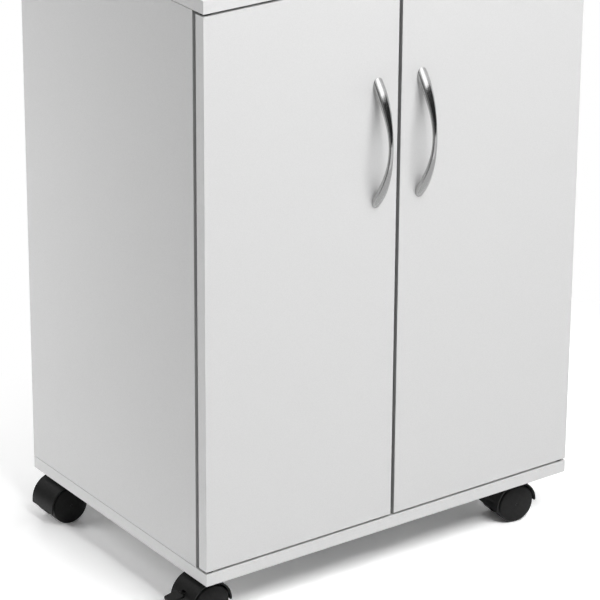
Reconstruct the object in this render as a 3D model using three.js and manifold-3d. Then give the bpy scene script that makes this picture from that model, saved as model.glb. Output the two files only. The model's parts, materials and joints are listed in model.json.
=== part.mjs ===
// Two-door mobile cabinet on twin-wheel casters.
// Millimetres, +Z up. The origin is on the floor, under the middle of the carcass, and the doors face -Y.
import * as THREE from 'three';
import { mergeVertices } from 'three/addons/utils/BufferGeometryUtils.js';
import Module from 'manifold-3d';

const wasm = await Module();
wasm.setup();

// Carcass
const WIDTH = 550;
const DEPTH = 395;
const CARCASS_HEIGHT = 732;
const BOARD = 16;
const BACK_THICKNESS = 3;
const BACK_INSET = 10;
const GROOVE_DEPTH = 6;

// Doors
const DOOR_THICKNESS = 16;
const DOOR_END_GAP = 3;
const DOOR_CENTRE_GAP = 5;
const DOOR_BACK_GAP = 6.5;
const PIVOT_RADIUS = 3;
const PIVOT_COLLAR_RADIUS = 6;
const PIVOT_EMBED = 10;
const BUSH_WALL = 2;
const BUSH_LENGTH = 14;

// Handles
const HANDLE_LENGTH = 164;
const HANDLE_RISE = 30;
const HANDLE_FROM_GAP = 32;
const HANDLE_BELOW_DOOR_TOP = 118.5;
const HANDLE_FOOT_WIDTH = 14;
const HANDLE_FOOT_DEPTH = 10;
const HANDLE_WAIST_WIDTH = 6;
const HANDLE_WAIST_DEPTH = 5;
const HANDLE_TIP_LENGTH = 12;

// Shelf
const SHELF_FRONT_SETBACK = 12;
const PIN_RADIUS = 2.5;
const PIN_EMBED = 8;
const PIN_REACH = 9;
const PIN_COLLAR_RADIUS = 4.5;
const PIN_COLLAR_THICKNESS = 1.2;
const PIN_HOLE_SETBACK = 37;
const PIN_HOLE_PITCH = 32;
const PIN_HOLE_ROWS = 5;

// Magnetic catch
const CATCH_WIDTH = 52;
const CATCH_DEPTH = 18;
const CATCH_HEIGHT = 16;
const STRIKE_WIDTH = 16;
const STRIKE_HEIGHT = 14;
const STRIKE_THICKNESS = 1.2;

// Casters
const CASTER_HEIGHT = 58;
const STEM_INSET_X = 40;
const STEM_INSET_FRONT = 34;
const STEM_INSET_REAR = 40;
const STEM_RADIUS = 4;
const STEM_LENGTH = 20;
const STEM_BOSS_WALL = 2.2;
const RIVET_RADIUS = 3;
const PLATE_SIDE = 38;
const PLATE_THICKNESS = 2.4;
const PLATE_CORNER = 5;
const PLATE_HOLE_RADIUS = 2.2;
const PLATE_HOLE_SPACING = 27;
const TRAIL = 25;
const TWIN_WIDTH = 46;
const WEB_THICKNESS = 12.4;
const WHEEL_RADIUS = 25;
const WHEEL_SHOULDER = 2.5;
const WHEEL_DOME = 1.4;
const WHEEL_RIM_WALL = 3.5;
const WHEEL_DISC_WALL = 4;
const WHEEL_HUB_WALL = 3.5;
const WHEEL_BORE_DEPTH = 11;
const WHEEL_SIDE_GAP = 0.8;
const HOOD_GAP = 2.2;
const HOOD_WALL = 2;
const HOOD_SKIRT_LEADING = 1;
const HOOD_SKIRT_TRAILING = 5;
const AXLE_RADIUS = 3;
const AXLE_BOSS_WALL = 5;

// Brake lever
const BRAKE_ANGLE = 155;
const BRAKE_PIN_RADIUS = 2;
const BRAKE_PIN_FROM_AXLE = 19;
const BRAKE_EYE_WALL = 1.8;
const BRAKE_ARM_THICKNESS = 4;
const BRAKE_ARM_WIDTH = 6;
const BRAKE_TAB_LENGTH = 20;
const BRAKE_TAB_WIDTH = 18;
const BRAKE_TAB_THICKNESS = 3;
const BRAKE_TAB_GAP = 1.5;
const BRAKE_TAB_DROOP = 35;
const BRAKE_TRAVEL = 12;

// Clearance between a piece and the hole or seat that holds it
const FIT = 0.3;
const RUNNING_GAP = 0.5;
const ROUND_SIDES = 16;
const SMALL_HOLE_SIDES = 8;
const WHEEL_SIDES = 24;
const HANDLE_SIDES = 12;
const HANDLE_STEPS = 28;
const HOOD_STEPS = 16;

// Levels and planes that several pieces share
const baseBottom = CASTER_HEIGHT;
const baseTop = baseBottom + BOARD;
const topTop = baseBottom + CARCASS_HEIGHT;
const topBottom = topTop - BOARD;
const front = -DEPTH / 2;
const rear = DEPTH / 2;
const doorBack = front + DOOR_THICKNESS;
const sideFront = doorBack + DOOR_BACK_GAP;
const sideInner = WIDTH / 2 - BOARD;
const backFront = rear - BACK_INSET - BACK_THICKNESS;
const doorBottom = baseTop + DOOR_END_GAP;
const doorTop = topBottom - DOOR_END_GAP;
const pivotX = WIDTH / 2 - DOOR_THICKNESS / 2;
const pivotY = front + DOOR_THICKNESS / 2;
const bushRadius = PIVOT_RADIUS + FIT + BUSH_WALL;

function material(color, roughness, metalness) {
  return () => new THREE.MeshStandardMaterial({ color, roughness, metalness });
}

const greyBoard = material(0xd6d7d8, 0.55, 0);
const paleBack = material(0xdddddb, 0.7, 0);
const satinChrome = material(0xc4c5c8, 0.25, 1);
const steel = material(0xb4b6b8, 0.35, 1);
const whitePlastic = material(0xe6e6e2, 0.5, 0);
const blackPlastic = material(0x1c1c1d, 0.5, 0);

function solid(geometry) {
  const bare = geometry.clone();
  bare.deleteAttribute('normal');
  bare.deleteAttribute('uv');
  const merged = mergeVertices(bare, 1e-4);
  const mesh = new wasm.Mesh({
    numProp: 3,
    vertProperties: new Float32Array(merged.attributes.position.array),
    triVerts: new Uint32Array(merged.index.array),
  });
  return new wasm.Manifold(mesh);
}

function geometryOf(manifold) {
  const mesh = manifold.getMesh();
  const geometry = new THREE.BufferGeometry();
  geometry.setAttribute('position', new THREE.BufferAttribute(mesh.vertProperties, 3));
  geometry.setIndex(new THREE.BufferAttribute(mesh.triVerts, 1));
  geometry.computeVertexNormals();
  return geometry;
}

function cut(geometry, tools) {
  return geometryOf(tools.reduce((body, tool) => body.subtract(solid(tool)), solid(geometry)));
}

function join(geometries) {
  return geometryOf(geometries.map(solid).reduce((body, next) => body.add(next)));
}

function block(low, high) {
  const [x0, y0, z0] = low;
  const [x1, y1, z1] = high;
  const geometry = new THREE.BoxGeometry(x1 - x0, y1 - y0, z1 - z0);
  return geometry.translate((x0 + x1) / 2, (y0 + y1) / 2, (z0 + z1) / 2);
}

// A round bar along Y, centred on the origin
function barAlongY(radius, length, sides = ROUND_SIDES) {
  return new THREE.CylinderGeometry(radius, radius, length, sides);
}

// A round bar along Z that starts at z = 0
function barAlongZ(radius, length, sides = ROUND_SIDES) {
  return barAlongY(radius, length, sides).rotateX(Math.PI / 2).translate(0, 0, length / 2);
}

// A turned piece: the profile holds [radius, height] pairs and the axis is Z
function turned(profile, sides = ROUND_SIDES) {
  const points = profile.map(([radius, height]) => new THREE.Vector2(radius, height));
  return new THREE.LatheGeometry(points, sides).rotateX(Math.PI / 2);
}

// A plate of an XZ outline, centred on the plane y = 0
function plateAcrossY(shape, thickness, curveSegments = HOOD_STEPS) {
  const options = { depth: thickness, bevelEnabled: false, curveSegments };
  const geometry = new THREE.ExtrudeGeometry(shape, options);
  return geometry.rotateX(Math.PI / 2).translate(0, thickness / 2, 0);
}

function roundedRectangle(width, height, radius) {
  const shape = new THREE.Shape();
  const x = width / 2 - radius;
  const y = height / 2 - radius;
  shape.absarc(x, y, radius, 0, Math.PI / 2);
  shape.absarc(-x, y, radius, Math.PI / 2, Math.PI);
  shape.absarc(-x, -y, radius, Math.PI, 1.5 * Math.PI);
  shape.absarc(x, -y, radius, 1.5 * Math.PI, 2 * Math.PI);
  shape.closePath();
  return shape;
}

const cabinet = new THREE.Group();

function place(name, geometry, finish, parent = cabinet) {
  const mesh = new THREE.Mesh(geometry, finish());
  mesh.name = name;
  parent.add(mesh);
  return mesh;
}

// The groove that takes one edge of the back panel
function backGroove(low, high) {
  const [x0, z0] = low;
  const [x1, z1] = high;
  return block([x0, backFront - FIT, z0], [x1, backFront + BACK_THICKNESS + FIT, z1]);
}

function pivotHole(sign, z, length) {
  return barAlongZ(PIVOT_RADIUS + FIT, length).translate(sign * pivotX, pivotY, z);
}

function basePanel() {
  const panel = block([-WIDTH / 2, front, baseBottom], [WIDTH / 2, rear, baseTop]);
  const depth = PIVOT_EMBED + FIT;
  const groove = backGroove([-sideInner - GROOVE_DEPTH, baseTop - GROOVE_DEPTH],
    [sideInner + GROOVE_DEPTH, baseTop + 1]);
  const holes = [-1, 1].map((sign) => pivotHole(sign, baseTop - depth, depth + 1));
  return cut(panel, [groove, ...holes]);
}

function topPanel() {
  const panel = block([-WIDTH / 2, front, topBottom], [WIDTH / 2, rear, topTop]);
  const depth = PIVOT_EMBED + FIT;
  const groove = backGroove([-sideInner - GROOVE_DEPTH, topBottom - 1],
    [sideInner + GROOVE_DEPTH, topBottom + GROOVE_DEPTH]);
  const holes = [-1, 1].map((sign) => pivotHole(sign, topBottom - 1, depth + 1));
  return cut(panel, [groove, ...holes]);
}

// Shelf pin holes stand in two columns, in rows about the middle of the inside height
const pinColumns = { front: sideFront + PIN_HOLE_SETBACK, rear: backFront - PIN_HOLE_SETBACK };
const pinMiddle = (baseTop + topBottom) / 2;
const pinRows = Array.from({ length: PIN_HOLE_ROWS },
  (_, row) => pinMiddle + (row - (PIN_HOLE_ROWS - 1) / 2) * PIN_HOLE_PITCH);
const pinZ = pinRows[Math.floor(PIN_HOLE_ROWS / 2)];

function sidePanel(sign) {
  const inner = sign * sideInner;
  const outer = sign * WIDTH / 2;
  const panel = block([Math.min(inner, outer), sideFront, baseTop], [Math.max(inner, outer), rear, topBottom]);
  const grooveEnds = [inner - sign, inner + sign * GROOVE_DEPTH].sort((a, b) => a - b);
  const groove = backGroove([grooveEnds[0], baseTop - 1], [grooveEnds[1], topBottom + 1]);
  const depth = PIN_EMBED + FIT;
  const holes = Object.values(pinColumns).flatMap((y) => pinRows.map((z) => {
    const hole = barAlongY(PIN_RADIUS + FIT, depth + 1, SMALL_HOLE_SIDES).rotateZ(Math.PI / 2);
    return hole.translate(inner + sign * (depth - 1) / 2, y, z);
  }));
  return cut(panel, [groove, ...holes]);
}

function backPanel() {
  const reach = GROOVE_DEPTH - FIT;
  return block([-sideInner - reach, backFront, baseTop - reach],
    [sideInner + reach, backFront + BACK_THICKNESS, topBottom + reach]);
}

const shelfBottom = pinZ + PIN_RADIUS + FIT;
const shelfSideGap = PIN_COLLAR_THICKNESS + 2 * FIT;

function shelfBoard() {
  const x = sideInner - shelfSideGap;
  return block([-x, sideFront + SHELF_FRONT_SETBACK, shelfBottom],
    [x, backFront - FIT, shelfBottom + BOARD]);
}

// A stepped pin along X whose collar rests on the side panel's inner face
function shelfPin(sign, y) {
  const pin = turned([
    [0, -PIN_EMBED],
    [PIN_RADIUS, -PIN_EMBED],
    [PIN_RADIUS, FIT],
    [PIN_COLLAR_RADIUS, FIT],
    [PIN_COLLAR_RADIUS, FIT + PIN_COLLAR_THICKNESS],
    [PIN_RADIUS, FIT + PIN_COLLAR_THICKNESS],
    [PIN_RADIUS, PIN_REACH],
    [0, PIN_REACH],
  ], SMALL_HOLE_SIDES);
  return pin.rotateY(-sign * Math.PI / 2).translate(sign * sideInner, y, pinZ);
}

place('base_panel', basePanel(), greyBoard);
place('top_panel', topPanel(), greyBoard);
place('left_side_panel', sidePanel(-1), greyBoard);
place('right_side_panel', sidePanel(1), greyBoard);
place('back_panel', backPanel(), paleBack);
place('shelf', shelfBoard(), greyBoard);
for (const [column, y] of Object.entries(pinColumns)) {
  place(`shelf_pin_${column}_left`, shelfPin(-1, y), steel);
  place(`shelf_pin_${column}_right`, shelfPin(1, y), steel);
}

// The catch hangs under the top, and its two magnets meet the strike plates behind the doors
function magneticCatch() {
  const plateFace = doorBack + STRIKE_THICKNESS + FIT;
  const outline = roundedRectangle(CATCH_WIDTH, CATCH_DEPTH, BOARD / 8);
  const body = new THREE.ExtrudeGeometry(outline,
    { depth: CATCH_HEIGHT, bevelEnabled: false, curveSegments: 3 });
  return body.translate(0, plateFace + CATCH_DEPTH / 2, topBottom - CATCH_HEIGHT);
}

function strikePlate(sign) {
  const inner = DOOR_CENTRE_GAP / 2 + (CATCH_WIDTH / 2 - DOOR_CENTRE_GAP / 2 - STRIKE_WIDTH) / 2;
  const x = sign * (inner + STRIKE_WIDTH / 2);
  const z = topBottom - CATCH_HEIGHT / 2 - DOOR_END_GAP / 2;
  return block([x - STRIKE_WIDTH / 2, doorBack, z - STRIKE_HEIGHT / 2],
    [x + STRIKE_WIDTH / 2, doorBack + STRIKE_THICKNESS, z + STRIKE_HEIGHT / 2]);
}

place('magnetic_catch', magneticCatch(), whitePlastic);

// A door with a bush hole in each end, under its pivots
function doorBoard(sign) {
  const inner = sign * DOOR_CENTRE_GAP / 2;
  const outer = sign * WIDTH / 2;
  const board = block([Math.min(inner, outer), front, doorBottom], [Math.max(inner, outer), doorBack, doorTop]);
  const depth = BUSH_LENGTH + FIT;
  const holes = [doorBottom - 1, doorTop - depth].map((z) =>
    barAlongZ(bushRadius + FIT, depth + 1).translate(sign * pivotX, pivotY, z));
  return cut(board, holes);
}

function doorBush(sign, z) {
  const bore = PIVOT_RADIUS + FIT;
  const bush = turned([[bore, 0], [bushRadius, 0], [bushRadius, BUSH_LENGTH], [bore, BUSH_LENGTH], [bore, 0]]);
  return bush.translate(sign * pivotX, pivotY, z);
}

// A stepped pin: its collar rests on the panel and fills the gap under the door
function doorPivot(sign, z, direction) {
  const collar = DOOR_END_GAP - FIT;
  const pin = turned([
    [0, -PIVOT_EMBED],
    [PIVOT_RADIUS, -PIVOT_EMBED],
    [PIVOT_RADIUS, 0],
    [PIVOT_COLLAR_RADIUS, 0],
    [PIVOT_COLLAR_RADIUS, collar],
    [PIVOT_RADIUS, collar],
    [PIVOT_RADIUS, DOOR_END_GAP + BUSH_LENGTH - 2],
    [0, DOOR_END_GAP + BUSH_LENGTH - 2],
  ]);
  if (direction < 0) pin.rotateX(Math.PI);
  return pin.translate(sign * pivotX, pivotY, z);
}

// A bow handle: a bar bent so that its outer face follows an arc between its two tips, slim at its waist,
// with leaf-shaped feet that are widest a tip length before their ends, and cut flat at the door
function bowHandle(sign) {
  const half = HANDLE_LENGTH / 2;
  const arcRadius = (half * half + HANDLE_RISE * HANDLE_RISE) / (2 * HANDLE_RISE);
  const tipAngle = Math.asin(half / arcRadius);
  const bar = new THREE.CylinderGeometry(1, 1, 2, HANDLE_SIDES, HANDLE_STEPS);
  const position = bar.attributes.position;
  for (let i = 0; i < position.count; i += 1) {
    const along = position.getY(i);
    const share = (along * half / (half - HANDLE_TIP_LENGTH)) ** 2;
    const spread = share * (2 - share);
    const width = THREE.MathUtils.lerp(HANDLE_WAIST_WIDTH, HANDLE_FOOT_WIDTH, spread) / 2;
    const depth = THREE.MathUtils.lerp(HANDLE_WAIST_DEPTH, HANDLE_FOOT_DEPTH, spread) / 2;
    const reach = arcRadius + (position.getZ(i) - 1) * depth;
    const out = reach * Math.cos(along * tipAngle) - (arcRadius - HANDLE_RISE);
    position.setXYZ(i, position.getX(i) * width, -out, reach * Math.sin(along * tipAngle));
  }
  bar.translate(sign * HANDLE_FROM_GAP, front, doorTop - HANDLE_BELOW_DOOR_TOP - half);
  const doorSpace = block([-WIDTH, front - FIT, 0], [WIDTH, rear, topTop]);
  return cut(bar, [doorSpace]);
}

for (const [side, sign] of [['left', -1], ['right', 1]]) {
  place(`${side}_door`, doorBoard(sign), greyBoard);
  place(`${side}_handle`, bowHandle(sign), satinChrome);
  place(`${side}_strike_plate`, strikePlate(sign), steel);
  place(`${side}_door_lower_bush`, doorBush(sign, doorBottom), whitePlastic);
  place(`${side}_door_upper_bush`, doorBush(sign, doorTop - BUSH_LENGTH), whitePlastic);
  place(`${side}_door_lower_pivot`, doorPivot(sign, baseTop, 1), steel);
  place(`${side}_door_upper_pivot`, doorPivot(sign, topBottom, -1), steel);
}

// Casters are built about their swivel stem, standing on the floor, with the axle trailing to -X.
const axleZ = WHEEL_RADIUS;
const hoodInner = WHEEL_RADIUS + HOOD_GAP;
const hoodOuter = hoodInner + HOOD_WALL;
const wheelInnerFace = WEB_THICKNESS / 2 + WHEEL_SIDE_GAP;
const wheelOuterFace = TWIN_WIDTH / 2;
const plateBottom = CASTER_HEIGHT - PLATE_THICKNESS;
const bossTop = plateBottom - FIT;
const bossRadius = STEM_RADIUS + STEM_BOSS_WALL;
const stemBottom = plateBottom - STEM_LENGTH;
const bossBottom = stemBottom - STEM_BOSS_WALL - FIT;
const eyeRadius = BRAKE_PIN_RADIUS + FIT + BRAKE_EYE_WALL;
const brakeTilt = THREE.MathUtils.degToRad(180 - BRAKE_ANGLE);

function casterPlate() {
  const options = { depth: PLATE_THICKNESS, bevelEnabled: false, curveSegments: 4 };
  const plate = new THREE.ExtrudeGeometry(roundedRectangle(PLATE_SIDE, PLATE_SIDE, PLATE_CORNER), options);
  plate.translate(0, 0, plateBottom);
  const corner = PLATE_HOLE_SPACING / 2;
  const through = (radius, sides) => barAlongZ(radius, 2 * PLATE_THICKNESS, sides)
    .translate(0, 0, plateBottom - PLATE_THICKNESS / 2);
  const screwHoles = [[-1, -1], [-1, 1], [1, -1], [1, 1]].map(([x, y]) =>
    through(PLATE_HOLE_RADIUS, SMALL_HOLE_SIDES).translate(x * corner, y * corner, 0));
  return cut(plate, [through(RIVET_RADIUS + FIT), ...screwHoles]);
}

// The swivel stem: its shoulder meets the plate from below and its rivet end fills the plate's middle hole
function casterStem() {
  return turned([
    [0, stemBottom],
    [STEM_RADIUS, stemBottom],
    [STEM_RADIUS, plateBottom],
    [RIVET_RADIUS, plateBottom],
    [RIVET_RADIUS, CASTER_HEIGHT - FIT],
    [0, CASTER_HEIGHT - FIT],
  ]);
}

// The arch over both wheels: its skirt reaches further down on the trailing side
function hoodArch() {
  const shape = new THREE.Shape();
  shape.moveTo(hoodOuter, -HOOD_SKIRT_LEADING);
  shape.absarc(0, 0, hoodOuter, 0, Math.PI);
  shape.lineTo(-hoodOuter, -HOOD_SKIRT_TRAILING);
  shape.lineTo(-hoodInner, -HOOD_SKIRT_TRAILING);
  shape.absarc(0, 0, hoodInner, Math.PI, 0, true);
  shape.lineTo(hoodInner, -HOOD_SKIRT_LEADING);
  shape.closePath();
  return shape;
}

// The web between the wheels: a half disc under the arch
function hoodWeb() {
  const shape = new THREE.Shape();
  const radius = hoodInner + HOOD_WALL / 2;
  shape.moveTo(radius, -HOOD_SKIRT_LEADING);
  shape.absarc(0, 0, radius, 0, Math.PI);
  shape.lineTo(-radius, -HOOD_SKIRT_LEADING);
  shape.closePath();
  return shape;
}

// Moves a piece drawn along the brake lever, from its pin outwards, to its place on the caster
function atBrakePin(geometry) {
  const x = -TRAIL - BRAKE_PIN_FROM_AXLE * Math.cos(brakeTilt);
  const z = axleZ + BRAKE_PIN_FROM_AXLE * Math.sin(brakeTilt);
  return geometry.rotateY(brakeTilt).translate(x, 0, z);
}

const armLength = hoodOuter - BRAKE_PIN_FROM_AXLE + BRAKE_ARM_THICKNESS + BRAKE_TAB_GAP;

function brakePocket() {
  const swing = armLength * Math.sin(THREE.MathUtils.degToRad(BRAKE_TRAVEL));
  const side = BRAKE_ARM_WIDTH / 2 + RUNNING_GAP;
  const above = eyeRadius + RUNNING_GAP;
  const below = Math.max(eyeRadius, BRAKE_ARM_THICKNESS / 2 + swing) + RUNNING_GAP;
  return atBrakePin(block([-armLength - HOOD_WALL, -side, -below], [eyeRadius + RUNNING_GAP, side, above]));
}

function casterHood(braked) {
  const arch = plateAcrossY(hoodArch(), TWIN_WIDTH).translate(-TRAIL, 0, axleZ);
  const web = plateAcrossY(hoodWeb(), WEB_THICKNESS).translate(-TRAIL, 0, axleZ);
  const axleBoss = barAlongY(AXLE_RADIUS + AXLE_BOSS_WALL, WEB_THICKNESS).translate(-TRAIL, 0, axleZ);
  const neck = block([-TRAIL, -WEB_THICKNESS / 2, bossBottom], [0, WEB_THICKNESS / 2, bossTop - FIT]);
  const boss = barAlongZ(bossRadius, bossTop - bossBottom).translate(0, 0, bossBottom);
  const stemHole = barAlongZ(STEM_RADIUS + FIT, STEM_LENGTH + 1).translate(0, 0, stemBottom - FIT);
  const axleHole = barAlongY(AXLE_RADIUS + FIT, 2 * TWIN_WIDTH).translate(-TRAIL, 0, axleZ);
  const cuts = [stemHole, axleHole];
  if (braked) {
    cuts.push(brakePocket(), atBrakePin(barAlongY(BRAKE_PIN_RADIUS + FIT, TWIN_WIDTH / 2, SMALL_HOLE_SIDES)));
  }
  return cut(join([arch, web, axleBoss, neck, boss]), cuts);
}

function casterAxle() {
  const length = 2 * (wheelInnerFace + WHEEL_BORE_DEPTH - 1);
  return barAlongY(AXLE_RADIUS, length).translate(-TRAIL, 0, axleZ);
}

// A dished wheel turned about Y: its hub takes the axle, and its outer face is closed and slightly domed
function casterWheel(sign) {
  const bore = AXLE_RADIUS + FIT;
  const hub = bore + WHEEL_HUB_WALL;
  const rim = WHEEL_RADIUS - WHEEL_RIM_WALL;
  const dish = wheelOuterFace - WHEEL_DISC_WALL;
  const shoulder = WHEEL_RADIUS - WHEEL_SHOULDER;
  const crown = Math.SQRT1_2 * WHEEL_SHOULDER;
  const wheel = new THREE.LatheGeometry([
    [0, wheelInnerFace + WHEEL_BORE_DEPTH],
    [bore, wheelInnerFace + WHEEL_BORE_DEPTH],
    [bore, wheelInnerFace],
    [hub, wheelInnerFace],
    [hub, dish],
    [rim, dish],
    [rim, wheelInnerFace],
    [WHEEL_RADIUS, wheelInnerFace],
    [WHEEL_RADIUS, wheelOuterFace - WHEEL_SHOULDER],
    [shoulder + crown, wheelOuterFace - WHEEL_SHOULDER + crown],
    [shoulder, wheelOuterFace],
    [shoulder / 2, wheelOuterFace + 0.75 * WHEEL_DOME],
    [0, wheelOuterFace + WHEEL_DOME],
  ].map(([radius, height]) => new THREE.Vector2(radius, height)), WHEEL_SIDES);
  if (sign < 0) wheel.rotateX(Math.PI);
  return wheel.translate(-TRAIL, 0, axleZ);
}

// The lever: an eye on its pin, an arm out through the hood, and a thumb tab that droops
function brakeLever() {
  const eye = barAlongY(eyeRadius, BRAKE_ARM_WIDTH);
  const arm = block([-armLength, -BRAKE_ARM_WIDTH / 2, -BRAKE_ARM_THICKNESS / 2],
    [0, BRAKE_ARM_WIDTH / 2, BRAKE_ARM_THICKNESS / 2]);
  const outline = roundedRectangle(BRAKE_TAB_LENGTH, BRAKE_TAB_WIDTH, BRAKE_TAB_WIDTH / 4);
  const tab = new THREE.ExtrudeGeometry(outline,
    { depth: BRAKE_TAB_THICKNESS, bevelEnabled: false, curveSegments: 4 });
  tab.translate(-BRAKE_TAB_LENGTH / 2, 0, -BRAKE_TAB_THICKNESS / 2);
  tab.rotateY(-THREE.MathUtils.degToRad(BRAKE_TAB_DROOP));
  tab.translate(-armLength + BRAKE_ARM_THICKNESS / 2, 0, 0);
  const pinHole = barAlongY(BRAKE_PIN_RADIUS + FIT, 2 * BRAKE_ARM_WIDTH, SMALL_HOLE_SIDES);
  return atBrakePin(cut(join([eye, arm, tab]), [pinHole]));
}

function brakePin() {
  return atBrakePin(barAlongY(BRAKE_PIN_RADIUS, WEB_THICKNESS - 2 * FIT, SMALL_HOLE_SIDES));
}

// Each caster keeps the swivel angle that it was left at
const stemX = WIDTH / 2 - STEM_INSET_X;
const stemFront = front + STEM_INSET_FRONT;
const stemRear = rear - STEM_INSET_REAR;
const casters = [
  { corner: 'front_left', x: -stemX, y: stemFront, turn: 0, braked: true },
  { corner: 'front_right', x: stemX, y: stemFront, turn: -5, braked: false },
  { corner: 'rear_left', x: -stemX, y: stemRear, turn: 1, braked: false },
  { corner: 'rear_right', x: stemX, y: stemRear, turn: -4, braked: true },
];

for (const { corner, x, y, turn, braked } of casters) {
  const caster = new THREE.Group();
  caster.position.set(x, y, 0);
  cabinet.add(caster);
  place(`${corner}_caster_plate`, casterPlate(), steel, caster);
  place(`${corner}_caster_stem`, casterStem(), steel, caster);
  const swivel = new THREE.Group();
  swivel.rotation.z = THREE.MathUtils.degToRad(turn);
  caster.add(swivel);
  place(`${corner}_caster_hood`, casterHood(braked), blackPlastic, swivel);
  place(`${corner}_caster_axle`, casterAxle(), steel, swivel);
  place(`${corner}_wheel_front`, casterWheel(-1), blackPlastic, swivel);
  place(`${corner}_wheel_rear`, casterWheel(1), blackPlastic, swivel);
  if (braked) {
    place(`${corner}_brake_lever`, brakeLever(), blackPlastic, swivel);
    place(`${corner}_brake_pin`, brakePin(), steel, swivel);
  }
}

export default cabinet;
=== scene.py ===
"""Two-door mobile cabinet: finishes, rounded pieces, fasteners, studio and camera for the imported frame."""
import json
import math

import bmesh
import bpy
from mathutils import Matrix, Vector

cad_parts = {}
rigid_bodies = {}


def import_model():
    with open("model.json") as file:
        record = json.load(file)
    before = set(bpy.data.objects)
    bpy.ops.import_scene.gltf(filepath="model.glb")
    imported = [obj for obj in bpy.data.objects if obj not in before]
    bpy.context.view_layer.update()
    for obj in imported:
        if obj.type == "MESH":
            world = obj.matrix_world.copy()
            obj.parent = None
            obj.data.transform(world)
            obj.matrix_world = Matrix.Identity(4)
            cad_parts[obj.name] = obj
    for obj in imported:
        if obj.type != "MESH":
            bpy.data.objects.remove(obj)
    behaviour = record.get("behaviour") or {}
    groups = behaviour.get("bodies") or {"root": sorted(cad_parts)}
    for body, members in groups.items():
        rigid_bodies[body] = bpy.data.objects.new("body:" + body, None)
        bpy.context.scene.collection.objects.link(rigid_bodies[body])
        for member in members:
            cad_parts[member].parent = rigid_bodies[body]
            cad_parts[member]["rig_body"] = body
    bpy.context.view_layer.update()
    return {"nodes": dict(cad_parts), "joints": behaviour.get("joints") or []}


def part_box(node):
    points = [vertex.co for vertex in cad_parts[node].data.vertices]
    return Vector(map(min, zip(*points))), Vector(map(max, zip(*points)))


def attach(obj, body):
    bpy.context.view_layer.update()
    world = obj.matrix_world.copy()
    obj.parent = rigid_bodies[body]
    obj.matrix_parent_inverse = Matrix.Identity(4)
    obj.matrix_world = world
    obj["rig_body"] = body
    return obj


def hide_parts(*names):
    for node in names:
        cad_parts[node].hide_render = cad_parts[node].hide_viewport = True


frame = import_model()
scene = bpy.context.scene

MM = 0.001
WELD = 0.001 * MM
SHARP_ANGLE = math.radians(40)
OUTER_ANGLE = math.radians(30)
FLAT_ANGLE = math.radians(1)

UP = (0, 0, 1)
DOWN = (0, 0, -1)
FORWARD = (0, -1, 0)
REARWARD = (0, 1, 0)

CORNERS = ("front_left", "front_right", "rear_left", "rear_right")
BRAKED = ("front_left", "rear_right")
SIDES = {"left": -1, "right": 1}
WHEEL_ENDS = {"front": -1, "rear": 1}

# Rounding of edges: its radius, its steps and the shortest edge that has it
BOARD_EDGE = 0.4 * MM
BOARD_EDGE_STEPS = 3
BOARD_SHORTEST = 10 * MM
HARDWARE_EDGE = 0.35 * MM
HARDWARE_EDGE_STEPS = 2
HARDWARE_SHORTEST = 1.2 * MM
PLASTIC_EDGE = 0.6 * MM

# Boards: the open seam at a side panel's ends, and how squarely a face must look its way to count, either as
# broad or as a side that gets the painted gap shade
SEAM = 0.6 * MM
BROAD_FACING = 0.99
PAINTED_SHADE_FACING = 0.9

# Handles
HANDLE_FOOT_WIDTH = 14 * MM
HANDLE_FOOT_DEPTH = 10 * MM
HANDLE_WAIST_WIDTH = 6 * MM
HANDLE_WAIST_DEPTH = 5 * MM
HANDLE_TIP_LENGTH = 12 * MM
HANDLE_SQUARENESS = 2.2
HANDLE_CLEAR = 0.3 * MM
HANDLE_STEPS = 72
HANDLE_SIDES = 40

# Wheels
WHEEL_RADIUS = 25 * MM
WHEEL_INNER_FACE = 7 * MM
WHEEL_OUTER_FACE = 23 * MM
WHEEL_DISC_WALL = 4 * MM
WHEEL_RIM_WALL = 3.5 * MM
WHEEL_HUB_RADIUS = 6.8 * MM
WHEEL_BORE_RADIUS = 3.3 * MM
WHEEL_BORE_DEPTH = 11 * MM
WHEEL_ROUNDING = 0.5 * MM
WHEEL_ROUNDING_STEPS = 3
WHEEL_SHOULDER = 2.5 * MM
WHEEL_SHOULDER_STEPS = 6
WHEEL_DOME = 1.4 * MM
WHEEL_DOME_STEPS = 11
WHEEL_DIMPLE_RADIUS = 2 * MM
WHEEL_DIMPLE_FLOOR_RADIUS = 1.6 * MM
WHEEL_DIMPLE_DEPTH = 0.4 * MM
WHEEL_SIDES = 72
RADIUS_LAYER = "turn_radius"

# Screw heads: the profile and the cross recess as shares of the head's radius and height
SCREW_PROFILE = ((1, 0), (1, 0.4), (0.8, 0.8), (0.6, 1))
SCREW_SIDES = 24
RECESS_REACH = 0.5
RECESS_HALF_SLOT = 0.14
RECESS_FLOOR_SHARE = 0.7
RECESS_FLOOR_HEIGHT = 0.3
HANDLE_SCREW_SPACING = 128 * MM
HANDLE_SCREW_RADIUS = 4 * MM
HANDLE_SCREW_HEIGHT = 2.4 * MM
CASTER_SCREW_SPACING = 27 * MM
CASTER_SCREW_RADIUS = 3.6 * MM
CASTER_SCREW_HEIGHT = 0.3 * MM
CASTER_PLATE_THICKNESS = 2.4 * MM

# Cover caps over the joint fittings, with a profile in shares of radius and height
CAP_PROFILE = ((0, 0), (1, 0), (1, 0.4), (0.95, 0.85), (0.85, 1), (0, 1))
CAP_SIDES = 40
CAP_RADIUS = 9 * MM
CAP_HEIGHT = 0.9 * MM
CAP_FROM_FRONT = 60 * MM
CAP_FROM_BACK = 70 * MM
CAP_FROM_ENDS = 34 * MM

# Pole plates of the catch
POLE_SIZE = (12 * MM, 1 * MM, 1.4 * MM)
POLE_EDGE = 0.15 * MM
POLE_INSET = 0.35 * MM
POLE_HEIGHTS = (4.5 * MM, 10.5 * MM)

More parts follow.
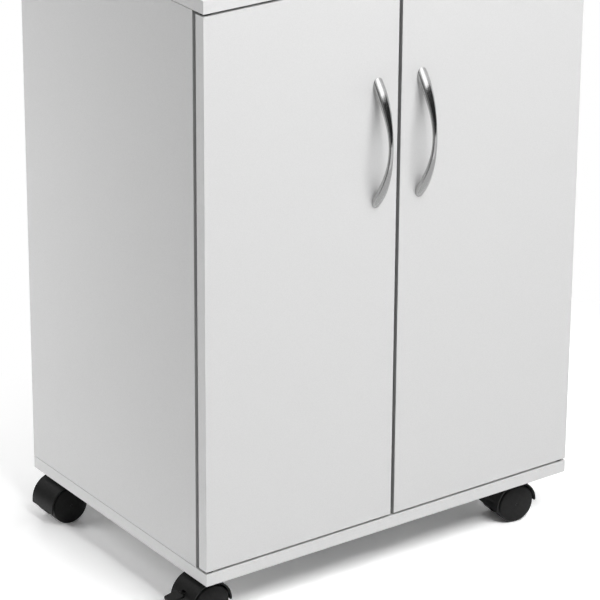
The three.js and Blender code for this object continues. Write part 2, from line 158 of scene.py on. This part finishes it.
# Finishes: the range in which most of a noise lies, how wavy turning rings are, and an edge strip's mottle
NOISE_LOW = 0.3
NOISE_HIGH = 0.7
RING_WAVINESS = 1.5
STRIP_MOTTLE = 0.02

# Floor: its grey where it lights the object and where it is seen, and how it runs out to white
FLOOR_WIDTH = 24
FLOOR_GREY = 0.86
FLOOR_WHITE = 1.25
WHITE_CENTRE = (0.1, -0.25, 0)
WHITE_FROM = 0.5
WHITE_BY = 0.85

# Light and camera
WORLD_FILL = 0.1
LAMP_SIZE = (1.2, 1.2)
SENSOR_WIDTH = 36
FOCAL_LENGTH = 204.6
CAMERA_PLACE = (-2.2673, -3.1882, 1.9799)
CAMERA_YAW = math.radians(-35.4095)
CAMERA_DOWN = math.radians(23.3245)
CAMERA_ROLL = math.radians(0.3591)


# Finishes

def lumps(per_metre, detail, stretch=(1, 1, 1)):
    """A noise pattern in the piece's own coordinates, with a number of lumps along a metre."""
    def pattern(tree):
        place = tree.nodes.new("ShaderNodeTexCoord")
        mapping = tree.nodes.new("ShaderNodeMapping")
        mapping.inputs["Scale"].default_value = stretch
        texture = tree.nodes.new("ShaderNodeTexNoise")
        texture.inputs["Scale"].default_value = per_metre
        texture.inputs["Detail"].default_value = detail
        tree.links.new(place.outputs["Object"], mapping.inputs["Vector"])
        tree.links.new(mapping.outputs["Vector"], texture.inputs["Vector"])
        return texture.outputs["Fac"]
    return pattern


def rings(per_metre):
    """A pattern of fine circles round a turned piece's axis, from its stored radius."""
    def pattern(tree):
        stored = tree.nodes.new("ShaderNodeAttribute")
        stored.attribute_name = RADIUS_LAYER
        wave = tree.nodes.new("ShaderNodeTexWave")
        wave.inputs["Scale"].default_value = per_metre
        wave.inputs["Distortion"].default_value = RING_WAVINESS
        across = tree.nodes.new("ShaderNodeCombineXYZ")
        tree.links.new(stored.outputs["Fac"], across.inputs["X"])
        tree.links.new(across.outputs["Vector"], wave.inputs["Vector"])
        return wave.outputs["Fac"]
    return pattern


def shade(tree, factor, dark, light, target):
    """Runs a socket from a dark to a light colour over the middle of the factor's range."""
    ramp = tree.nodes.new("ShaderNodeValToRGB")
    for element, position, colour in zip(ramp.color_ramp.elements, (NOISE_LOW, NOISE_HIGH), (dark, light)):
        element.position = position
        element.color = (*colour, 1)
    tree.links.new(factor, ramp.inputs["Fac"])
    tree.links.new(ramp.outputs["Color"], target)


def vary(tree, factor, low, high, target):
    """Runs a socket from low to high over the middle of the factor's range."""
    spread = tree.nodes.new("ShaderNodeMapRange")
    spread.inputs["From Min"].default_value = NOISE_LOW
    spread.inputs["From Max"].default_value = NOISE_HIGH
    spread.inputs["To Min"].default_value = low
    spread.inputs["To Max"].default_value = high
    tree.links.new(factor, spread.inputs["Value"])
    tree.links.new(spread.outputs["Result"], target)


def relief(tree, height, depth, target):
    """Adds a layer of bump, its depth in metres, over the layers that reach the socket."""
    bump = tree.nodes.new("ShaderNodeBump")
    bump.inputs["Distance"].default_value = depth
    tree.links.new(height, bump.inputs["Height"])
    if target.is_linked:
        tree.links.new(target.links[0].from_socket, bump.inputs["Normal"])
    tree.links.new(bump.outputs["Normal"], target)


def finish(name, dark, light, mottle, roughness, patches, bumps, metallic=0.0, specular=0.5):
    """A finish whose colour runs from dark to light in a mottle, and whose roughness varies in patches.

    Bumps are pairs of a pattern and its depth, each laid over the one before.
    """
    material = bpy.data.materials.new(name)
    material.use_nodes = True
    tree = material.node_tree
    shader = tree.nodes["Principled BSDF"]
    middle = (Vector(dark) + Vector(light)) / 2
    shader.inputs["Base Color"].default_value = (*middle, 1)
    shader.inputs["Roughness"].default_value = sum(roughness) / 2
    shader.inputs["Metallic"].default_value = metallic
    shader.inputs["Specular IOR Level"].default_value = specular
    shade(tree, mottle(tree), dark, light, shader.inputs["Base Color"])
    vary(tree, patches(tree), *roughness, shader.inputs["Roughness"])
    for pattern, depth in bumps:
        relief(tree, pattern(tree), depth, shader.inputs["Normal"])
    return material


def grey(value):
    return (value, value, value)


def edge_strip(name, value):
    """Edge strip: smoother than the coating, with a faint mottle."""
    return finish(
        name, dark=grey(value * (1 - STRIP_MOTTLE)), light=grey(value * (1 + STRIP_MOTTLE)),
        mottle=lumps(500, 2), roughness=(0.33, 0.43), patches=lumps(300, 3),
        bumps=[(lumps(800, 2), 0.02 * MM)],
    )


def zinc_plating(name, dark, light, roughness):
    """Zinc plating, with a spangle in its colour."""
    return finish(
        name, dark, light, mottle=lumps(180, 4), roughness=roughness, patches=lumps(420, 3),
        bumps=[(lumps(900, 2), 0.01 * MM)], metallic=1.0,
    )


def trim_plastic(name, dark, light, mottle):
    """Smooth moulded plastic of small inner pieces."""
    return finish(
        name, dark, light, mottle, roughness=(0.36, 0.48), patches=lumps(500, 2),
        bumps=[(lumps(1800, 1), 0.01 * MM)],
    )


# Melamine coating: pale grey, with a faint pearl in its colour and its pressed grain
BOARD_FACE = finish(
    "board_face", dark=grey(0.66), light=grey(0.70), mottle=lumps(900, 3), roughness=(0.40, 0.50),
    patches=lumps(60, 4), bumps=[(lumps(1500, 2), 0.03 * MM), (lumps(40, 1), 0.02 * MM)],
)
BOARD_STRIP = edge_strip("board_edge", 0.70)
# The darker strip is painted shade: it stands in for the shade that falls inside the gaps
PAINTED_GAP_SHADE = edge_strip("painted_gap_shade", 0.42)

# Lacquered fibreboard: pale, flat, with a fine fibrous print
FIBRES = lumps(260, 5, stretch=(1, 1, 0.25))
BACK_BOARD = finish(
    "back_board", dark=grey(0.69), light=grey(0.74), mottle=FIBRES, roughness=(0.54, 0.66),
    patches=lumps(45, 3), bumps=[(FIBRES, 0.04 * MM)],
)

# Satin plating: bright, with a fine brushing along the handle
BRUSHING = lumps(1600, 2, stretch=(1, 1, 0.06))
CHROME = finish(
    "satin_chrome", dark=grey(0.43), light=grey(0.49), mottle=BRUSHING, roughness=(0.12, 0.20),
    patches=lumps(120, 3), bumps=[(BRUSHING, 0.004 * MM)], metallic=1.0,
)

# Bright zinc with a trace of yellow, and a dark grey zinc that is painted shade for the doors' pivot corners
ZINC = zinc_plating(
    "zinc_steel", dark=(0.56, 0.57, 0.585), light=(0.68, 0.675, 0.65), roughness=(0.26, 0.42),
)
CORNER_SHADE_ZINC = zinc_plating("corner_shade_zinc", dark=grey(0.045), light=grey(0.075), roughness=(0.36, 0.48))

WHITE_PLASTIC = trim_plastic(
    "white_plastic", dark=(0.76, 0.76, 0.73), light=(0.80, 0.80, 0.775), mottle=lumps(200, 3),
)
GREY_PLASTIC = trim_plastic("grey_plastic", dark=grey(0.585), light=grey(0.615), mottle=lumps(250, 3))

# Moulded black plastic with an etched grain
BLACK_PLASTIC = finish(
    "black_plastic", dark=grey(0.004), light=grey(0.009), mottle=lumps(350, 3), roughness=(0.38, 0.54),
    patches=lumps(700, 2), bumps=[(lumps(1400, 2), 0.05 * MM)], specular=0.22,
)

# Hard wheel plastic: satin, with faint turning rings
WHEEL_PLASTIC = finish(
    "wheel_plastic", dark=grey(0.003), light=grey(0.007), mottle=lumps(220, 4), roughness=(0.32, 0.50),
    patches=lumps(500, 3), bumps=[(rings(260), 0.012 * MM), (lumps(1600, 2), 0.02 * MM)], specular=0.16,
)


# Pieces

def body_of(node):
    return frame["nodes"][node]["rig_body"]


def make_piece(name, form, body, slot, *materials):
    """Turns a finished bmesh into a piece that rides on a body."""
    mesh = bpy.data.meshes.new(name)
    for face in form.faces:
        face.smooth = True
    bmesh.ops.recalc_face_normals(form, faces=form.faces)
    form.to_mesh(mesh)
    form.free()
    mesh.set_sharp_from_angle(angle=SHARP_ANGLE)
    for material in materials:
        mesh.materials.append(material)
    piece = bpy.data.objects.new(name, mesh)
    scene.collection.objects.link(piece)
    weighted = piece.modifiers.new("weighted_normals", "WEIGHTED_NORMAL")
    weighted.keep_sharp = True
    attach(piece, body)
    return piece


def rounded(node, radius, steps, shortest, seam=0.0):
    """A copy of a CAD node with its outer edges rounded, from a shortest length on.

    Its lower and upper ends stop a seam short.
    """
    form = bmesh.new()
    form.from_mesh(frame["nodes"][node].data)
    low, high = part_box(node)
    for vertex in form.verts:
        vertex.co.z = min(max(vertex.co.z, low.z + seam), high.z - seam)
    bmesh.ops.remove_doubles(form, verts=form.verts, dist=WELD)
    bmesh.ops.dissolve_limit(form, angle_limit=FLAT_ANGLE, verts=form.verts, edges=form.edges)
    outer = [
        edge for edge in form.edges
        if edge.is_manifold and edge.is_convex
        and edge.calc_face_angle() > OUTER_ANGLE and edge.calc_length() > shortest
    ]
    bmesh.ops.bevel(
        form, geom=outer, offset=radius, offset_type="OFFSET", segments=steps, profile=0.5,
        affect="EDGES", clamp_overlap=True,
    )
    return form


def dress_board(node, slot="grey_board", face=BOARD_FACE, strip=BOARD_STRIP, seam=0.0, painted_shade_sides=()):
    """A board with softened edges: its two broad faces are coated and its narrow sides have an edge strip.

    The sides that face a gap, given by their outward directions, have a darker strip: painted shade,
    standing in for the shade inside the gaps.
    """
    low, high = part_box(node)
    extent = high - low
    thin = min(range(3), key=lambda axis: extent[axis])
    form = rounded(node, BOARD_EDGE, BOARD_EDGE_STEPS, BOARD_SHORTEST, seam)
    for part in form.faces:
        part.material_index = 0 if abs(part.normal[thin]) > BROAD_FACING else 1
        # Sides that face a gap take the painted gap shade
        if any(part.normal.dot(Vector(outward)) > PAINTED_SHADE_FACING for outward in painted_shade_sides):
            part.material_index = 2
    strips = (strip, PAINTED_GAP_SHADE) if painted_shade_sides else (strip,)
    piece = make_piece(f"{node}_board", form, body_of(node), slot, face, *strips)
    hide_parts(node)


def dress_hardware(node, slot, material, radius=HARDWARE_EDGE):
    """A small piece with its outer edges softened."""
    form = rounded(node, radius, HARDWARE_EDGE_STEPS, HARDWARE_SHORTEST)
    piece = make_piece(f"{node}_piece", form, body_of(node), slot, material)
    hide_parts(node)


def facing(point, direction):
    """A frame at a point whose Z looks along a direction."""
    return Matrix.Translation(point) @ Vector(direction).to_track_quat("Z", "Y").to_matrix().to_4x4()


def bridge(form, row, following):
    """A band of faces between two closed rows of as many vertices."""
    for i in range(len(row)):
        j = (i + 1) % len(row)
        form.faces.new((row[i], row[j], following[j], following[i]))


def loft(sections):
    """A closed skin through rings of points, with a flat cap on each end."""
    form = bmesh.new()
    rows = [[form.verts.new(point) for point in section] for section in sections]
    for row, following in zip(rows, rows[1:]):
        bridge(form, row, following)
    form.faces.new(reversed(rows[0]))
    form.faces.new(rows[-1])
    return form


def turned(profile, sides, matrix):
    """A solid turned about Z from pairs of radius and height, then placed.

    The first and the last pair are on the axis.
    """
    form = bmesh.new()
    radius_layer = form.verts.layers.float.new(RADIUS_LAYER)
    rows = []
    for radius, height in profile:
        count = 1 if radius == 0 else sides
        row = []
        for i in range(count):
            turn = 2 * math.pi * i / sides
            point = Vector((radius * math.cos(turn), radius * math.sin(turn), height))
            vertex = form.verts.new(matrix @ point)
            vertex[radius_layer] = radius
            row.append(vertex)
        rows.append(row)
    for row, following in zip(rows, rows[1:]):
        for i in range(sides):
            j = (i + 1) % sides
            here = [row[i % len(row)], row[j % len(row)]]
            there = [following[j % len(following)], following[i % len(following)]]
            form.faces.new(list(dict.fromkeys(here + there)))
    return form


def superellipse(turn, power):
    """A point on a rounded square of half width 1."""
    x = math.copysign(abs(math.cos(turn)) ** (2 / power), math.cos(turn))
    y = math.copysign(abs(math.sin(turn)) ** (2 / power), math.sin(turn))
    return x, y


def handle_ring(along, half, rise):
    """One section of the bow at a share of its half length: points across, out from the door, and up."""
    arc_radius = (half * half + rise * rise) / (2 * rise)
    angle = along * math.asin(half / arc_radius)
    share = (along * half / (half - HANDLE_TIP_LENGTH)) ** 2
    spread = share * (2 - share)
    width = HANDLE_WAIST_WIDTH + (HANDLE_FOOT_WIDTH - HANDLE_WAIST_WIDTH) * spread
    depth = HANDLE_WAIST_DEPTH + (HANDLE_FOOT_DEPTH - HANDLE_WAIST_DEPTH) * spread
    ring = []
    for i in range(HANDLE_SIDES):
        across, out = superellipse(2 * math.pi * i / HANDLE_SIDES, HANDLE_SQUARENESS)
        reach = arc_radius + (out - 1) * depth / 2
        from_door = reach * math.cos(angle) - (arc_radius - rise)
        ring.append((across * width / 2, from_door, reach * math.sin(angle)))
    return ring


def bow_handle(side):
    """The bow: slim at its waist, with leaf-shaped feet, cut flat where it stands on the door."""
    node = f"{side}_handle"
    low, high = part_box(node)
    centre = (low + high) / 2
    door_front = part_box(f"{side}_door")[0].y
    half = (high.z - low.z) / 2
    shares = [2 * i / HANDLE_STEPS - 1 for i in range(HANDLE_STEPS + 1)]
    form = loft([
        [(centre.x + across, door_front - out, centre.z + up)
         for across, out, up in handle_ring(share, half, door_front - low.y)]
        for share in shares
    ])
    cut = bmesh.ops.bisect_plane(
        form, geom=[*form.verts, *form.edges, *form.faces], dist=WELD,
        plane_co=(0, door_front - HANDLE_CLEAR, 0), plane_no=REARWARD, clear_outer=True,
    )
    rim = [item for item in cut["geom_cut"] if isinstance(item, bmesh.types.BMEdge)]
    bmesh.ops.edgenet_fill(form, edges=rim)
    piece = make_piece(f"{node}_bow", form, f"{side}_door", "satin_chrome", CHROME)
    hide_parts(node)


def arc_points(centre_radius, centre_height, radius, start, end, steps):
    """Pairs of radius and height along an arc, from a start to an end angle in degrees."""
    angles = [math.radians(start + (end - start) * i / steps) for i in range(steps + 1)]
    return [(centre_radius + radius * math.cos(a), centre_height + radius * math.sin(a)) for a in angles]


def wheel_profile():
    """The wheel from its blind bore, over hub, dish, rim and tread, to its domed and dimpled disc."""
    dish = WHEEL_OUTER_FACE - WHEEL_DISC_WALL
    rim = WHEEL_RADIUS - WHEEL_RIM_WALL
    shoulder = WHEEL_RADIUS - WHEEL_SHOULDER
    bottom = WHEEL_INNER_FACE + WHEEL_BORE_DEPTH
    inner_edge = arc_points(
        WHEEL_RADIUS - WHEEL_ROUNDING, WHEEL_INNER_FACE + WHEEL_ROUNDING, WHEEL_ROUNDING,
        -90, 0, WHEEL_ROUNDING_STEPS,
    )
    outer_edge = arc_points(
        shoulder, WHEEL_OUTER_FACE - WHEEL_SHOULDER, WHEEL_SHOULDER, 0, 90, WHEEL_SHOULDER_STEPS,
    )
    dome = []
    for i in range(1, WHEEL_DOME_STEPS + 1):
        radius = shoulder + (WHEEL_DIMPLE_RADIUS - shoulder) * i / WHEEL_DOME_STEPS
        dome.append((radius, WHEEL_OUTER_FACE + WHEEL_DOME * (1 - (radius / shoulder) ** 2)))
    dimple = dome[-1][1] - WHEEL_DIMPLE_DEPTH
    return [
        (0, bottom), (WHEEL_BORE_RADIUS, bottom), (WHEEL_BORE_RADIUS, WHEEL_INNER_FACE),
        (WHEEL_HUB_RADIUS, WHEEL_INNER_FACE), (WHEEL_HUB_RADIUS, dish),
        (rim, dish), (rim, WHEEL_INNER_FACE),
        *inner_edge, *outer_edge, *dome,
        (WHEEL_DIMPLE_FLOOR_RADIUS, dimple), (0, dimple),
    ]


def caster_wheel(corner, end, sign):
    """A wheel on its spin axis, its disc facing away from the hood's web."""
    joint = next(j for j in frame["joints"] if j["name"] == f"{corner}_{end}_spin")
    node = f"{corner}_wheel_{end}"
    outward = sign * Vector(joint["axis"])
    form = turned(wheel_profile(), WHEEL_SIDES, facing(Vector(joint["pos_m"]), outward))
    piece = make_piece(f"{node}_disc", form, body_of(node), "wheel_plastic", WHEEL_PLASTIC)
    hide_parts(node)


# Fasteners and trim

def add_to(form, other):
    """Moves another bmesh into a form."""
    mesh = bpy.data.meshes.new("part")
    other.to_mesh(mesh)
    other.free()
    form.from_mesh(mesh)
    bpy.data.meshes.remove(mesh)


def screw_head(form, point, direction, radius, height):
    """A domed head with a cross recess, standing on a surface at a point."""
    place = facing(point, direction)
    turns = [2 * math.pi * i / SCREW_SIDES for i in range(SCREW_SIDES)]
    head = bmesh.new()
    rows = []
    for out, up in SCREW_PROFILE:
        points = [(out * radius * math.cos(t), out * radius * math.sin(t), up * height) for t in turns]
        rows.append([head.verts.new(place @ Vector(p)) for p in points])
    for row, following in zip(rows, rows[1:]):
        bridge(head, row, following)
    head.faces.new(reversed(rows[0]))
    long = RECESS_REACH * radius
    slot = RECESS_HALF_SLOT * radius
    arm = [(long, -slot), (long, slot), (slot, slot)]
    cross = []
    for _ in range(4):
        cross += arm
        arm = [(-y, x) for x, y in arm]
    floor_height = RECESS_FLOOR_HEIGHT * height
    floor = [(RECESS_FLOOR_SHARE * x, RECESS_FLOOR_SHARE * y) for x, y in cross]
    upper = [head.verts.new(place @ Vector((x, y, height))) for x, y in cross]
    lower = [head.verts.new(place @ Vector((x, y, floor_height))) for x, y in floor]
    bridge(head, upper, lower)
    head.faces.new(lower)
    rims = [head.edges.get((row[i - 1], row[i])) for row in (rows[-1], upper) for i in range(len(row))]
    bmesh.ops.triangle_fill(head, use_beauty=True, edges=rims)
    add_to(form, head)


def handle_screws(side):
    """Two heads behind each handle, on the door's inner face."""
    low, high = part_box(f"{side}_handle")
    centre = (low + high) / 2
    door_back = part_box(f"{side}_door")[1].y
    form = bmesh.new()
    for z in (-HANDLE_SCREW_SPACING / 2, HANDLE_SCREW_SPACING / 2):
        point = Vector((centre.x, door_back, centre.z + z))
        screw_head(form, point, REARWARD, HANDLE_SCREW_RADIUS, HANDLE_SCREW_HEIGHT)
    make_piece(f"{side}_handle_screws", form, f"{side}_door", "zinc_steel", ZINC)


def caster_screws(corner):
    """Four low heads under each caster plate."""
    low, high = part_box(f"{corner}_caster_plate")
    centre = (low + high) / 2
    plate_bottom = high.z - CASTER_PLATE_THICKNESS
    places = (-CASTER_SCREW_SPACING / 2, CASTER_SCREW_SPACING / 2)
    form = bmesh.new()
    for x in places:
        for y in places:
            point = Vector((centre.x + x, centre.y + y, plate_bottom))
            screw_head(form, point, DOWN, CASTER_SCREW_RADIUS, CASTER_SCREW_HEIGHT)
    make_piece(f"{corner}_caster_screws", form, "carcass", "zinc_steel", ZINC)


def joint_caps(side, sign):
    """Cover caps over the joint fittings, inside each side panel near the base and the top."""
    low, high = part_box(f"{side}_side_panel")
    inner = low.x if sign > 0 else high.x
    profile = [(out * CAP_RADIUS, up * CAP_HEIGHT) for out, up in CAP_PROFILE]
    form = bmesh.new()
    for y in (low.y + CAP_FROM_FRONT, high.y - CAP_FROM_BACK):
        for z in (low.z + CAP_FROM_ENDS, high.z - CAP_FROM_ENDS):
            add_to(form, turned(profile, CAP_SIDES, facing(Vector((inner, y, z)), (-sign, 0, 0))))
    make_piece(f"{side}_joint_caps", form, "carcass", "grey_board", GREY_PLASTIC)


def catch_poles():
    """The catch's magnet poles: two pairs of thin steel plates that face the strike plates."""
    low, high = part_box("magnetic_catch")
    form = bmesh.new()
    for side in SIDES:
        strike_low, strike_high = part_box(f"{side}_strike_plate")
        middle = (strike_low.x + strike_high.x) / 2
        for height in POLE_HEIGHTS:
            place = Matrix.Translation((middle, low.y + POLE_INSET, low.z + height))
            bar = bmesh.new()
            bmesh.ops.create_cube(bar, size=1, matrix=place @ Matrix.Diagonal((*POLE_SIZE, 1)))
            bmesh.ops.bevel(bar, geom=bar.edges[:], offset=POLE_EDGE, segments=1, affect="EDGES")
            add_to(form, bar)
    make_piece("catch_poles", form, "carcass", "zinc_steel", ZINC)


# The cabinet

for board in ("base_panel", "top_panel", "shelf"):
    dress_board(board)
dress_board("back_panel", "back_board", BACK_BOARD, BACK_BOARD)
dress_hardware("magnetic_catch", "white_plastic", WHITE_PLASTIC, PLASTIC_EDGE)
catch_poles()
for end in ("front", "rear"):
    for side in SIDES:
        dress_hardware(f"shelf_pin_{end}_{side}", "zinc_steel", ZINC)
for side, sign in SIDES.items():
    # The side panels' front edges and the doors' top, bottom and meeting edges get the painted gap shade
    dress_board(f"{side}_side_panel", seam=SEAM, painted_shade_sides=[FORWARD])
    dress_board(f"{side}_door", painted_shade_sides=[UP, DOWN, (-sign, 0, 0)])
    bow_handle(side)
    handle_screws(side)
    joint_caps(side, sign)
    dress_hardware(f"{side}_strike_plate", "zinc_steel", ZINC)
    for end in ("lower", "upper"):
        dress_hardware(f"{side}_door_{end}_bush", "white_plastic", WHITE_PLASTIC)
        # The pivots take the dark zinc: painted shade for the doors' corners
        dress_hardware(f"{side}_door_{end}_pivot", "zinc_steel", CORNER_SHADE_ZINC)
for corner in CORNERS:
    dress_hardware(f"{corner}_caster_plate", "zinc_steel", ZINC)
    dress_hardware(f"{corner}_caster_stem", "zinc_steel", ZINC)
    dress_hardware(f"{corner}_caster_hood", "black_plastic", BLACK_PLASTIC, PLASTIC_EDGE)
    dress_hardware(f"{corner}_caster_axle", "zinc_steel", ZINC)
    caster_screws(corner)
    for end, sign in WHEEL_ENDS.items():
        caster_wheel(corner, end, sign)
for corner in BRAKED:
    dress_hardware(f"{corner}_brake_lever", "black_plastic", BLACK_PLASTIC, PLASTIC_EDGE)
    dress_hardware(f"{corner}_brake_pin", "zinc_steel", ZINC)


# Studio

def seen_directly(tree):
    """1 for rays that show the background: camera, glossy and transmission rays."""
    path = tree.nodes.new("ShaderNodeLightPath")
    total = path.outputs["Is Camera Ray"]
    for name in ("Is Glossy Ray", "Is Transmission Ray"):
        larger = tree.nodes.new("ShaderNodeMath")
        larger.operation = "MAXIMUM"
        tree.links.new(total, larger.inputs[0])
        tree.links.new(path.outputs[name], larger.inputs[1])
        total = larger.outputs["Value"]
    return total


def switch_if_seen(tree, unseen, seen, target):
    """Gives a socket one value for rays that only light, and another for rays that show the background."""
    choice = tree.nodes.new("ShaderNodeMapRange")
    choice.inputs["To Min"].default_value = unseen
    choice.inputs["To Max"].default_value = seen
    tree.links.new(seen_directly(tree), choice.inputs["Value"])
    tree.links.new(choice.outputs["Result"], target)


def studio_world():
    """White where it is seen, and a low even fill on the object."""
    world = bpy.data.worlds.new("studio")
    world.use_nodes = True
    background = world.node_tree.nodes["Background"]
    background.inputs["Color"].default_value = (1, 1, 1, 1)
    switch_if_seen(world.node_tree, WORLD_FILL, 1, background.inputs["Strength"])
    scene.world = world


def bare_material(name):
    """A new material without a shader, with its tree and its surface socket."""
    material = bpy.data.materials.new(name)
    material.use_nodes = True
    tree = material.node_tree
    tree.nodes.remove(tree.nodes["Principled BSDF"])
    return material, tree, tree.nodes["Material Output"].inputs["Surface"]


def floor_material():
    """A pale matt floor, seen as white, that keeps the shadow near the object and runs out to white."""
    material, tree, surface = bare_material("floor")
    matt = tree.nodes.new("ShaderNodeBsdfDiffuse")
    switch_if_seen(tree, FLOOR_GREY, FLOOR_WHITE, matt.inputs["Color"])
    place = tree.nodes.new("ShaderNodeTexCoord")
    distance = tree.nodes.new("ShaderNodeVectorMath")
    distance.operation = "DISTANCE"
    distance.inputs[1].default_value = WHITE_CENTRE
    tree.links.new(place.outputs["Object"], distance.inputs[0])
    outwards = tree.nodes.new("ShaderNodeMapRange")
    outwards.interpolation_type = "SMOOTHSTEP"
    outwards.inputs["From Min"].default_value = WHITE_FROM
    outwards.inputs["From Max"].default_value = WHITE_BY
    tree.links.new(distance.outputs["Value"], outwards.inputs["Value"])
    share = tree.nodes.new("ShaderNodeMath")
    share.operation = "MULTIPLY"
    tree.links.new(outwards.outputs["Result"], share.inputs[0])
    tree.links.new(seen_directly(tree), share.inputs[1])
    white = tree.nodes.new("ShaderNodeEmission")
    both = tree.nodes.new("ShaderNodeMixShader")
    tree.links.new(share.outputs["Value"], both.inputs["Fac"])
    tree.links.new(matt.outputs["BSDF"], both.inputs[1])
    tree.links.new(white.outputs["Emission"], both.inputs[2])
    tree.links.new(both.outputs["Shader"], surface)
    return material


def stage_sheet(name, material, place):
    """A flat sheet of the studio: a square metre that a matrix stretches and places."""
    form = bmesh.new()
    bmesh.ops.create_grid(form, x_segments=1, y_segments=1, size=0.5, matrix=place)
    mesh = bpy.data.meshes.new(name)
    form.to_mesh(mesh)
    form.free()
    mesh.materials.append(material)
    sheet = bpy.data.objects.new(name, mesh)
    scene.collection.objects.link(sheet)
    return sheet


def card(name, centre, normal, size, brightness):
    """A studio card of an even brightness that shows in reflections and nowhere else."""
    material, tree, surface = bare_material(name)
    glow = tree.nodes.new("ShaderNodeEmission")
    glow.inputs["Strength"].default_value = brightness
    tree.links.new(glow.outputs["Emission"], surface)
    sheet = stage_sheet(name, material, facing(centre, normal) @ Matrix.Diagonal((*size, 1, 1)))
    sheet.visible_camera = False
    sheet.visible_diffuse = False
    sheet.visible_shadow = False
    sheet.visible_transmission = False


def soft_box(name, place, target, watts, size=LAMP_SIZE):
    """A rectangular lamp aimed at a point; it leaves no image in reflections."""
    lamp = bpy.data.lights.new(name, "AREA")
    lamp.shape = "RECTANGLE"
    lamp.size, lamp.size_y = size
    lamp.energy = watts
    holder = bpy.data.objects.new(name, lamp)
    holder.location = place
    aim = Vector(target) - Vector(place)
    holder.rotation_euler = aim.to_track_quat("-Z", "Y").to_euler()
    holder.visible_camera = False
    holder.visible_glossy = False
    scene.collection.objects.link(holder)


def photograph_camera():
    """The camera at the photograph's place and angle."""
    lens = bpy.data.cameras.new("camera")
    lens.sensor_width = SENSOR_WIDTH
    lens.lens = FOCAL_LENGTH
    camera = bpy.data.objects.new("camera", lens)
    aim = Matrix.Rotation(CAMERA_YAW, 4, "Z") @ Matrix.Rotation(math.pi / 2 - CAMERA_DOWN, 4, "X")
    aim = aim @ Matrix.Rotation(CAMERA_ROLL, 4, "Z")
    camera.matrix_world = Matrix.Translation(CAMERA_PLACE) @ aim
    scene.collection.objects.link(camera)
    scene.camera = camera


scene.view_settings.view_transform = "Standard"
studio_world()
stage_sheet("floor", floor_material(), Matrix.Diagonal((FLOOR_WIDTH, FLOOR_WIDTH, 1, 1)))
soft_box("front_light", place=(0.1, -1.75, 2.45), target=(0, -0.1, 0.6), watts=71, size=(1.6, 1.2))
soft_box("top_light", place=(-0.2, -0.5, 3.2), target=(-0.3, -0.3, 0), watts=4)
soft_box("left_light", place=(-1.9, 1.1, 2.3), target=(-0.25, 0.25, 0.1), watts=15.5)
soft_box("right_light", place=(2.6, 0.4, 2.0), target=(0.27, 0, 0.4), watts=26)
soft_box("side_light", place=(-1.05, 0.6, 0.4), target=(-0.275, 0.1, 0.34), watts=3.5, size=(0.5, 0.4))
soft_box("back_light", place=(0.9, 2.4, 1.3), target=(0.1, 0.2, 0.45), watts=17)
card("bright_card", centre=(0.55, -2.6, 2.75), normal=(-0.2, 0.75, -0.7), size=(3.2, 1.7), brightness=2.4)
card("dark_card", centre=(0.4, -1.6, 0.85), normal=(-0.15, 1, 0), size=(4.0, 1.4), brightness=0.03)
card("grey_card", centre=(-1.1, -0.3, 1.0), normal=(0.83, 0, 0.56), size=(3.0, 2.4), brightness=0.25)
card("low_card", centre=(0.15, -0.53, 0.03), normal=UP, size=(2.3, 0.64), brightness=0.75)
photograph_camera()
